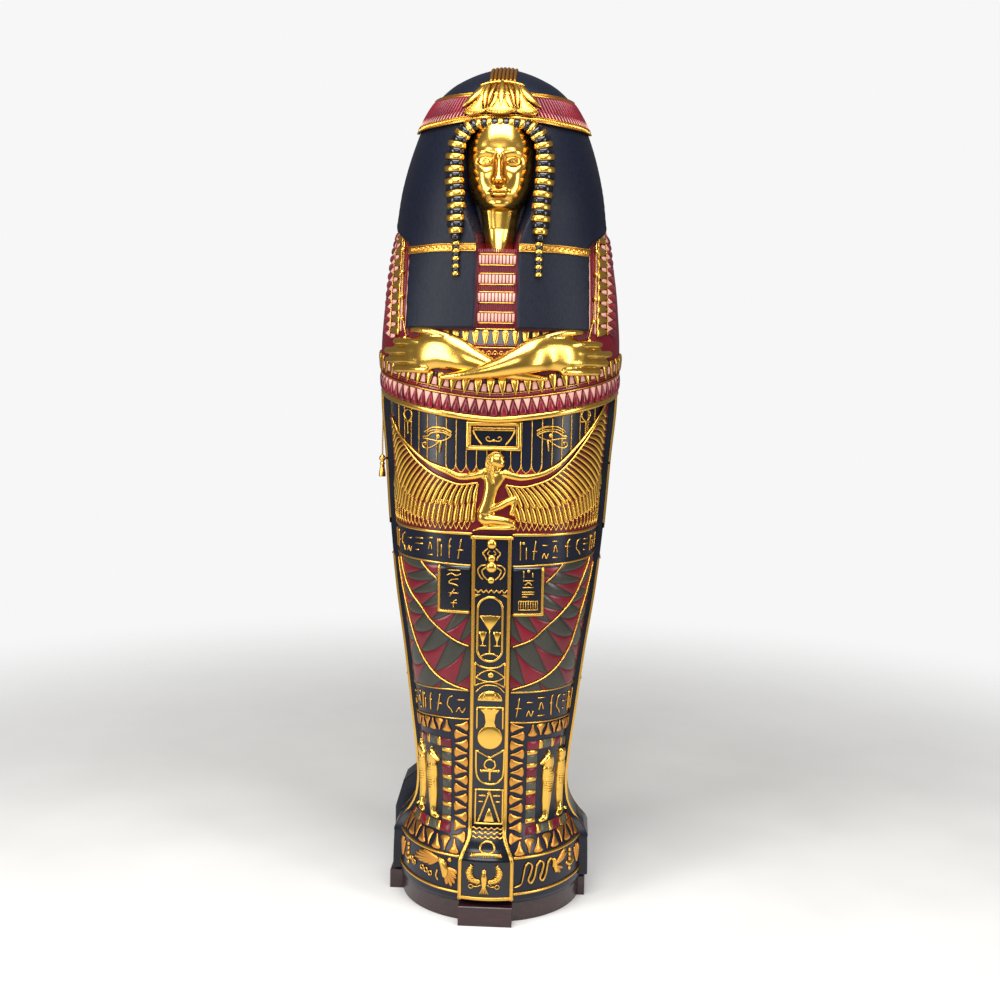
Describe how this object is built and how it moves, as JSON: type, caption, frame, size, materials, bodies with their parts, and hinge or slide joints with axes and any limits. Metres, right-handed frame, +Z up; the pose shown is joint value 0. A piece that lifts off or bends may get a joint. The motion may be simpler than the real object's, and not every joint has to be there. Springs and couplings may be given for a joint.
{
  "type": "anthropoid coffin replica",
  "caption": "Life-size standing mummy case with a painted and gilded hollow lid and case on a dark wooden plinth, with a pull cord at one side.",
  "frame": {"origin": "on the floor under the middle of the plinth's outline", "axes": "+Z up along the height, the carved front faces -Y, +X to the right seen from the front"},
  "size_m": [0.5582, 0.4951, 1.93],
  "materials": {
    "painted_resin": "satin black, maroon and grey-green paint with gilded relief on cast resin",
    "case_paint": "satin black paint on cast resin",
    "stained_wood": "dark red-brown stain under satin varnish",
    "gold_cord": "twisted gold-coloured cord",
    "gilt_metal": "worn gilt"
  },
  "bodies": {
    "root": {"lid": "painted_resin", "case": "case_paint", "plinth": "stained_wood", "pull_cord": "gold_cord", "pull": "gilt_metal"}
  },
  "joints": []
}
